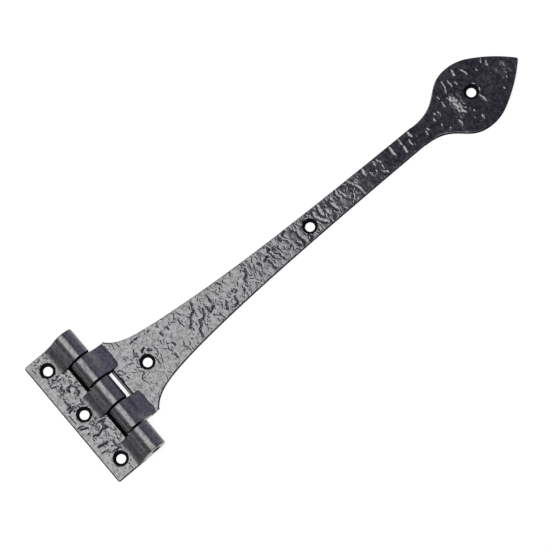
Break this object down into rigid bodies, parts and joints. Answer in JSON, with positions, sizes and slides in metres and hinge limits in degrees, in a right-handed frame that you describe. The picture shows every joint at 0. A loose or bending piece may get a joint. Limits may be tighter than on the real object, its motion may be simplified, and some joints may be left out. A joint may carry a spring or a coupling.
{
  "type": "tee hinge",
  "caption": "Cast tee hinge: a short rectangular leaf for the frame and a long tapering strap with a spear-shaped end for the door, both turning on one pin.",
  "frame": {"origin": "middle screw hole of the frame leaf, on the mounting face", "axes": "+X along the strap towards its point, +Y along the pin, +Z out of the mounting face towards the room"},
  "size_m": [0.3327, 0.0854, 0.0136],
  "materials": {
    "enamelled_casting": "glossy black enamel over a hammered casting",
    "enamelled_pin": "glossy black enamel over a steel pin"
  },
  "bodies": {
    "leaf": {"frame_leaf": "enamelled_casting", "hinge_pin": "enamelled_pin"},
    "strap": {"strap": "enamelled_casting"}
  },
  "joints": [
    {"name": "pin_hinge", "type": "hinge", "parent": "leaf", "child": "strap", "pos_m": [0.0186, 0, 0.0068], "axis": [0, -1, 0], "range_deg": [0, 180]}
  ]
}
